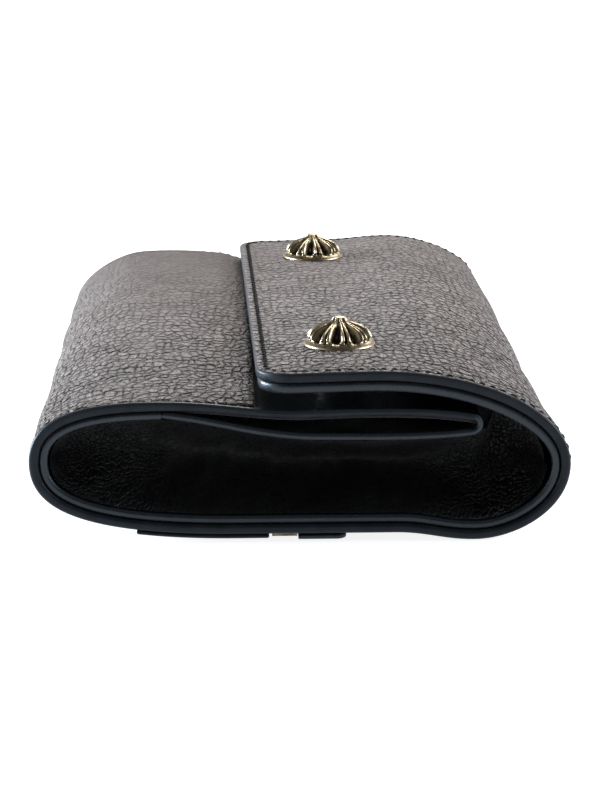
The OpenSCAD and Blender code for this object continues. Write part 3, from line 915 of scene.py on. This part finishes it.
turn_x, turn_z, turn_r = MOUTH_X - 2.3, FRONT_H - 4.9, 2.1
quarter = 0.5523 * turn_r
corner_x = turn_x + turn_r
turned_run = Run(
    [[(turn_x, turn_z - turn_r), (turn_x + quarter, turn_z - turn_r), (corner_x, turn_z - quarter),
      (corner_x, turn_z)]],
    [[(corner_x, turn_z), (corner_x, turn_z + quarter), (turn_x + quarter, turn_z + turn_r),
      (turn_x, turn_z + turn_r)]],
)
turned_edge = panel(
    "mouth_turned_edge", turned_run, (0, turned_run.total), HALF_L - LINING_INSET, 0, 1.25,
    "black_lining", 0.5, inner=False, wave=0.03,
)
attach(turned_edge, "shell")

cloth_low, cloth_high = node_box("front_panel_lining")
cloth_span = (front_run.length_at(cloth_high[0]), front_run.length_at(cloth_low[0]))
front_cloth = panel(
    "front_lining_cloth", front_run, cloth_span, cloth_high[1], LEATHER_T, PANEL_T,
    "black_cloth", 1.8,
)
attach(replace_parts(front_cloth, "front_panel_lining"), "shell")

back_run = Run([FOLD_BOTTOM], [BACK_FLAT], [BACK_HEEL])


def back_panel(name, node, depth, thick, slot, **options):
    """A panel that lies along the back, as long and as wide as its CAD node."""
    low, high = node_box(node)
    span = (back_run.length_at(low[0]), back_run.length_at(high[0]))
    piece = panel(name, back_run, span, high[1], depth, thick, slot, **options)
    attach(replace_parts(piece, node), "shell")
    return piece, (span[1] - span[0], 2 * high[1])


backing, backing_flat = back_panel(
    "card_backing", "card_backing_panel", WALL_T, PANEL_T, "black_cloth", wave=0
)
[side * MM for side in backing_flat]
for number in range(1, 5):
    back_panel(
        f"card_pocket_{number}", f"card_slot_{number}", WALL_T + PANEL_T * number, PANEL_T,
        "card_slot_leather", wave=0,
    )
back_panel(
    "back_pocket_cover", "back_pocket_panel", -0.9, 0.9, "pebbled_leather", step=1.0, inner=False, bead=0.5,
    wave=0.03,
)


def straight(low, high, z):
    """A straight line in section at height z."""
    return Run([[(low + (high - low) * k / 3, z) for k in range(4)]])


def flat_panel(name, node, slot, **options):
    """A flat panel that fills its CAD node's box."""
    low, high = node_box(node)
    run = straight(low[0], high[0], low[2])
    piece = panel(
        name, run, (0, high[0] - low[0]), (high[1] - low[1]) / 2, 0, high[2] - low[2], slot,
        shift=(high[1] + low[1]) / 2, **options,
    )
    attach(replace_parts(piece, node), "shell")
    return piece, (high[0] - low[0], high[1] - low[1])


flat_panel("divider", "divider_panel", "black_lining", wave=0.0)
for edge in ("lower", "upper"):
    flat_panel(
        f"zip_cloth_{edge}", f"zip_tape_{edge}", "black_cloth", inner=False, wave=0.0
    )

# ---------------------------------------------------------------- leather tabs

pull_low, pull_high = node_box("zip_pull_tab")
pull_tab = panel(
    "zip_pull_strap", straight(pull_low[0], pull_high[0], pull_low[2]), (0, pull_high[0] - pull_low[0]),
    (pull_high[1] - pull_low[1]) / 2, 0, pull_high[2] - pull_low[2], "black_lining", 0.5,
    inner=False, corner=1.8, wave=0.0, shift=(pull_high[1] + pull_low[1]) / 2, bead=0.3,
)
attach(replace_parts(pull_tab, "zip_pull_tab"), "zip_pull")


def chain_strap(name):
    """A short strap that rises from the lining to its eyelet; the eyelet's flanges cover the hole."""
    low, high = node_box(f"chain_tab_{name}")
    ring_low, ring_high = node_box(f"chain_eyelet_{name}")
    eyelet_x, middle = (ring_low[0] + ring_high[0]) / 2, (low[1] + high[1]) / 2
    rise = (ring_high[2] - ring_low[2]) / 2 - 0.6
    level = ring_low[2] + rise
    knee = eyelet_x - 6.5
    run = Run(
        [[(low[0], low[2]), (low[0] + 2.5, low[2] + 1.4), (knee - 2.5, level - 1.2), (knee, level)]],
        [[(knee, level), (knee + 2, level + 0.2), (eyelet_x, level), (high[0], level)]],
    )
    half = (high[1] - low[1]) / 2
    at = run.length_at(eyelet_x)
    outline = Outline(0, run.total, half, 2.5)
    border = [*rounded(0.4), 0.7, 1.2]
    hole = (at - 2.7, at + 2.7, -2.7, 2.7)
    rows = marks(0, run.total, [(1e9, 0.8)], border, border, hole[:2])
    columns = marks(-half, half, [(1e9, 0.8)], border, border, hole[2:])
    strap = solid_sheet(
        f"chain_strap_{name}", outline, lambda s, y, h: run.place(s, y + middle, 1.2 - h), 1.2, rows, columns,
        soft_lift(0.03, 6, 83), round_top=0.4, round_under=0.4, paint=0.5, under_step=(0.9, 0.9), hole=hole,
    )
    dress(strap, "black_lining")
    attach(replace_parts(strap, f"chain_tab_{name}"), "shell")


for name in SIDES:
    chain_strap(name)

# ---------------------------------------------------------------- gussets


def gusset(name, side):
    """A leather wall that folds into the wallet between its two faces."""
    pocket_side = pocket_run.place(np.linspace(0, pocket_run.total, 90), 0, POCKET_T + 0.15)[:, [0, 2]]
    fold = fold_lining_run.place(np.linspace(0, fold_lining_run.total, 260), 0, WALL_T + 0.15)[:, [0, 2]]
    up = flap_run.place(np.linspace(0, flap_run.total * 0.3, 60), 0, WALL_T + 0.75)[:, [0, 2]]
    ring = np.vstack([pocket_side, fold, up])
    left, right = int(np.argmin(ring[:, 0])), int(np.argmax(ring[:, 0]))
    lower = ring[left : right + 1]
    upper = np.vstack([ring[left::-1], ring[:right:-1], ring[right : right + 1]])

    def chain(points):
        steps = np.linalg.norm(np.diff(points, axis=0), axis=1)
        along = np.concatenate([[0], np.cumsum(steps)])
        return points, along / along[-1]

    (low_points, low_at), (up_points, up_at) = chain(lower), chain(upper)
    width, half = 120.0, 12.0
    y_rim = HALF_L - 0.9
    deep = HALF_L - node_box(f"gusset_{name}")[1 if side < 0 else 0][1] * side - 1.4

    def place(s, v, h):
        u = s / width
        w = (v / half + 1) / 2
        low_xz = [np.interp(u, low_at, low_points[:, k]) for k in (0, 1)]
        up_xz = [np.interp(u, up_at, up_points[:, k]) for k in (0, 1)]
        x, z = (a + (b - a) * w for a, b in zip(low_xz, up_xz))
        reach = np.clip(np.sin(math.pi * np.clip(u, 0, 1)), 0, 1) ** 0.45
        fold_in = 1 - abs(2 * w - 1) ** 1.7
        crumple = 0.7 * wobble(x, z * 2, 9, 61) + 0.45 * wobble(x * 1.6, z, 4, 67)
        inward = deep * reach * fold_in + crumple * np.clip(fold_in * 3, 0, 1) * reach
        return np.stack([x, side * (y_rim - inward - h), z], -1)

    def lift(s, v, d):
        scale_v = 0.7
        edge, cell, off = pebbles(s, v * scale_v, (1.35, 1.1), 71)
        pebble = 0.16 * (1 - np.exp(-edge / 0.25)) + 0.2 * off * (cell - 0.3)
        ends = 0.06 + 0.94 * (smooth(s, width * 0.68, width * 0.86) + smooth(-s, -width * 0.28, -width * 0.1))
        # the first value darkens the borders between pebbles: a painted shade
        return edge * 0.9, smooth(d, 0.4, 2) * pebble * ends

    border = [0, 0.3, 0.8, 1.4, 2.0]
    rows = marks(0, width, [(1e9, 0.45)], border, border)
    columns = marks(-half, half, [(1e9, 0.3)], border, border)
    piece = solid_sheet(
        f"gusset_{name}_fold", Outline(0, width, half), place, 0.9, rows, columns, lift, round_top=0.3,
        round_under=0.2, paint=0.0, under_step=(2.5, 2.0),
    )
    dress(piece, "black_gusset_leather")
    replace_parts(piece, f"gusset_{name}")
    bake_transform(piece)


for name, side in SIDES.items():
    gusset(name, side)

# ---------------------------------------------------------------- stitches


def stitches(name, line, blend=None, body=None, length=1.7, radius=0.34, slant=0.12):
    """Thread lying along a line. line is (points, outward directions), closely spaced."""
    points, out = line
    steps = np.linalg.norm(np.diff(points, axis=0), axis=1)
    at = np.concatenate([[0], np.cumsum(steps)])
    centres = np.arange(STITCH_PITCH / 2, at[-1] - STITCH_PITCH / 2, STITCH_PITCH)

    def sample(values, where):
        return np.stack([np.interp(where, at, values[:, k]) for k in range(3)], -1)

    rings = np.linspace(-1, 1, 7)
    fat = np.sqrt(np.maximum(1 - rings**4, 0.0)) * 0.9 + 0.1
    around = 8
    turn = np.linspace(0, 2 * math.pi, around, endpoint=False)
    verts, faces = [], []
    for number, centre in enumerate(centres):
        reach = length / 2 * (1 + 0.06 * math.sin(number * 2.3))
        spine = sample(points, centre + rings * reach)
        normal = sample(out, centre + rings * reach)
        normal /= np.linalg.norm(normal, axis=1)[:, None]
        along = np.gradient(spine, axis=0)
        along /= np.linalg.norm(along, axis=1)[:, None]
        across = np.cross(along, normal)
        spine = spine - normal * (rings**2)[:, None] * 0.22 + across * rings[:, None] * slant
        first = sum(len(v) for v in verts)
        tube = (
            spine[:, None, :]
            + across[:, None, :] * (np.cos(turn)[None, :, None] * (fat * radius)[:, None, None])
            + normal[:, None, :] * (np.sin(turn)[None, :, None] * (fat * radius * 0.8)[:, None, None])
        ).reshape(-1, 3)
        verts.append(tube)
        for i in range(len(rings) - 1):
            this, above = first + i * around, first + (i + 1) * around
            for j in range(around):
                k = (j + 1) % around
                faces.append((this + j, this + k, above + k, above + j))
        faces.append(tuple(range(first, first + around)))
        faces.append(tuple(range(first + len(rings) * around - 1, first + (len(rings) - 1) * around - 1, -1)))
    mesh = bpy.data.meshes.new(name)
    mesh.from_pydata((np.vstack(verts) * MM).tolist(), [], faces)
    piece = dress(finish_mesh(name, mesh, 80), "pebbled_leather", THREAD)
    if blend:
        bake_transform(piece)
    else:
        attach(piece, body)
    return piece


def on_run(run, s, y, depth):
    """Points just under a sheet's face and the directions out of it."""
    points = run.place(s, y, depth + 0 * s)
    return points, points - run.place(s, y, depth + 1 + 0 * s)


for name, side in SIDES.items():
    s = np.arange(under_flap + 1.5, shell_run.total - 0.2, 0.2)
    line = on_run(shell_run, s, side * (HALF_L - SHELL_STITCH), 0.24)
    stitches(f"stitches_shell_{name}", line, SPINE_BLEND)
y = np.arange(-HALF_L + 3, HALF_L - 3, 0.2)
stitches("stitches_mouth", on_run(shell_run, 0 * y + SHELL_STITCH + 2, y, 0.1), body="shell")

corner_turn = np.linspace(0, math.pi / 2, 40)
corner_r = FLAP_R - STITCH_INSET
corner_s, corner_y = flap_run.total - FLAP_R, HALF_L - FLAP_R
straight_s = np.arange(0.2, corner_s, 0.2)
straight_y = np.arange(-corner_y, corner_y, 0.2)
path_s = np.concatenate(
    [
        straight_s, corner_s + corner_r * np.sin(corner_turn),
        0 * straight_y + flap_run.total - STITCH_INSET,
        corner_s + corner_r * np.cos(corner_turn), straight_s[::-1],
    ]
)
path_y = np.concatenate(
    [
        0 * straight_s - HALF_L + STITCH_INSET, -corner_y - corner_r * np.cos(corner_turn),
        straight_y, corner_y + corner_r * np.sin(corner_turn), 0 * straight_s + HALF_L - STITCH_INSET,
    ]
)
line = on_run(flap_run, path_s, path_y, 0.05)
stitches("stitches_flap", line, FLAP_BLEND, length=1.35, radius=0.42, slant=0.3)

# ---------------------------------------------------------------- studs

PETALS = 9
DOME_R, DOME_H = 6.88, 5.75
CAP_RISE = 5.6
# The dome in section, as pairs of radius and height
CAP_DOME = [
    (6.85, 0.0), (6.88, 0.25), (6.75, 0.5), (6.5, 0.75), (6.2, 0.95), (5.95, 1.15), (5.85, 1.5), (5.75, 1.9),
    (5.5, 2.4), (5.1, 2.85), (4.5, 3.25), (3.8, 3.6), (3.1, 3.95), (2.4, 4.3), (1.85, 4.65), (1.5, 5.0),
    (1.35, 5.3), (1.2, 5.55), (0.85, 5.7), (0.4, 5.75),
]


def stud(name):
    """A ribbed cap: a smooth skirt, leaf-shaped petals with raised rims, and a fluted knob."""
    low, high = node_box(f"stud_cap_{name}")
    x, y = (low[0] + high[0]) / 2, (low[1] + high[1]) / 2
    seat = high[2] - CAP_RISE
    grow = CAP_RISE / DOME_H
    radial = (high[1] - low[1]) / 2 / DOME_R
    steps = np.linspace(0, len(CAP_DOME) - 1, 80)
    dome = np.array([np.interp(steps, np.arange(len(CAP_DOME)), [p[k] for p in CAP_DOME]) for k in (0, 1)])
    for _ in range(3):
        dome[:, 1:-1] = (dome[:, :-2] + 2 * dome[:, 1:-1] + dome[:, 2:]) / 4
    slope = np.gradient(dome, axis=1)
    out = np.array([slope[1], -slope[0]]) / np.hypot(*slope)
    r, z = dome[:, :, None]
    count = PETALS * 24
    angle = np.arange(count) * 2 * math.pi / count
    phase = abs(((angle * PETALS / (2 * math.pi)) % 1) * 2 - 1)[None, :]
    petals = smooth(z, 1.0, 1.5) * (1 - smooth(z, 4.5, 5.0))
    knob = smooth(z, 4.5, 5.0) * (1 - smooth(z, 5.5, 5.72))
    leaf = 0.74 - 0.5 * smooth(-z, -1.9, -1.1)
    rim = np.exp(-(((phase - leaf) / 0.17) ** 2))
    gap = smooth(phase, 0.84, 1.0)
    hollow = 1 - smooth(phase, 0.1, 0.62)
    depth = petals * smooth(r, 1.4, 4.2)
    push = depth * (0.3 * rim - 1.15 * hollow - 0.9 * gap) + petals * 0.12 * (rim - gap)
    flute = 0.5 + 0.5 * np.cos(math.pi * phase)
    push = push - knob * 0.28 * flute
    worn = 0.9 - petals * (1.0 * hollow + 0.9 * gap) * (0.5 + 0.5 * smooth(r, 1.5, 3.5))
    worn = worn - knob * 0.6 * flute - 0.55 * smooth(-z, -1.25, -0.75) * smooth(z, 0.3, 0.7)
    r, z = r + push * out[0][:, None], z + push * out[1][:, None]
    px = x + radial * r * np.cos(angle)[None, :]
    py = y + radial * r * np.sin(angle)[None, :]
    pz = seat + grow * z
    verts = np.stack([px, py, pz], -1).reshape(-1, 3)
    verts = np.vstack([verts, [[x, y, seat + grow * (DOME_H + 0.03)]], [[x, y, seat]]])
    rings = len(steps)
    faces = [
        (i * count + j, i * count + (j + 1) % count, (i + 1) * count + (j + 1) % count, (i + 1) * count + j)
        for i in range(rings - 1)
        for j in range(count)
    ]
    tip, foot = rings * count, rings * count + 1
    faces += [((rings - 1) * count + j, (rings - 1) * count + (j + 1) % count, tip) for j in range(count)]
    faces += [((j + 1) % count, j, foot) for j in range(count)]
    mesh = bpy.data.meshes.new(f"stud_{name}")
    mesh.from_pydata((verts * MM).tolist(), [], faces)
    values = np.concatenate([worn.ravel(), [1.0, 0.2]]).astype(np.float32)
    mesh.attributes.new("worn", "FLOAT", "POINT").data.foreach_set("value", values)
    piece = dress(finish_mesh(f"stud_{name}", mesh, 70), "antique_gold", GOLD)
    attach(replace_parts(piece, f"stud_cap_{name}"), "flap")


for name in SIDES:
    stud(name)

# ---------------------------------------------------------------- carried-over hardware

NODE_FINISH = {
    "snap_": STEEL, "chain_eyelet_": BRASS, "zip_teeth_": BRASS, "zip_end_stops": BRASS, "zip_slider": BRASS,
    "zip_pull_ring": PULL_METAL,
}
for node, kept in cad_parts.items():
    for start, material in NODE_FINISH.items():
        if node.startswith(start):
            kept.data.materials.clear()
            kept.data.materials.append(material)

# ---------------------------------------------------------------- camera, light and floor

scene = bpy.context.scene
scene.view_settings.view_transform = "Standard"

floor_mesh = bpy.data.meshes.new("floor")
floor_mesh.from_pydata([(-3, -3, 0), (3, -3, 0), (3, 3, 0), (-3, 3, 0)], [], [(0, 1, 2, 3)])
floor = bpy.data.objects.new("floor", floor_mesh)
floor.location.z = -0.0001
scene.collection.objects.link(floor)
paper = Shader("floor_paper", Roughness=0.9, Specular_IOR_Level=0.1, Emission_Strength=0.85)
paper.feed(Base_Color=grey(0.5), Emission_Color=grey(1.0))
floor_mesh.materials.append(paper.material)

world = scene.world or bpy.data.worlds.new("studio")
scene.world = world
world.use_nodes = True
sky = Nodes(world.node_tree, "Background", Color=(0.97, 0.985, 1.0, 1))
towards = sky.node("TexCoord").outputs["Generated"]
from_back = sky.spread(sky.axis(towards, "Y"), -0.5, 1.0, 0.12, 1.05)
from_sides = sky.spread(sky.math("ABSOLUTE", sky.axis(towards, "X")), 0.55, 1.0, 0.0, 0.9)
from_above = sky.spread(sky.axis(towards, "Z"), 0.15, 1.0, 1.0, 0.35)
sky.feed(Strength=sky.math("MULTIPLY", sky.math("ADD", from_back, from_sides), from_above))


def area_light(name, spot, target, size, power, colour=(1, 1, 1)):
    data = bpy.data.lights.new(name, "AREA")
    data.shape, data.size, data.size_y, data.energy, data.color = "RECTANGLE", *size, power, colour
    lamp = bpy.data.objects.new(name, data)
    lamp.location = spot
    lamp.rotation_mode = "QUATERNION"
    lamp.rotation_quaternion = (Vector(target) - Vector(spot)).to_track_quat("-Z", "Y")
    scene.collection.objects.link(lamp)


area_light("key_from_behind", (0.15, 0.55, 0.6), (0, 0, 0.02), (0.5, 0.35), 8.0, (1.0, 0.98, 0.95))
area_light("left_side", (-0.7, 0.15, 0.14), (0, 0, 0.02), (0.5, 0.25), 17.0, (0.78, 0.89, 1.0))
area_light("right_side", (0.7, 0.0, 0.3), (0, 0, 0.02), (0.5, 0.4), 5.0, (0.8, 0.9, 1.0))

CAMERA_AT, LENS, SENSOR = (-0.015, -0.499, 0.129), 105.1, 36
PITCH, YAW = math.radians(13.44), math.radians(2.0)
camera_data = bpy.data.cameras.new("camera")
camera_data.lens, camera_data.sensor_width = LENS, SENSOR
camera = bpy.data.objects.new("camera", camera_data)
camera.location = CAMERA_AT
look = Vector((math.sin(YAW) * math.cos(PITCH), math.cos(YAW) * math.cos(PITCH), -math.sin(PITCH)))
camera.rotation_mode = "QUATERNION"
camera.rotation_quaternion = look.to_track_quat("-Z", "Y")
scene.collection.objects.link(camera)
scene.camera = camera
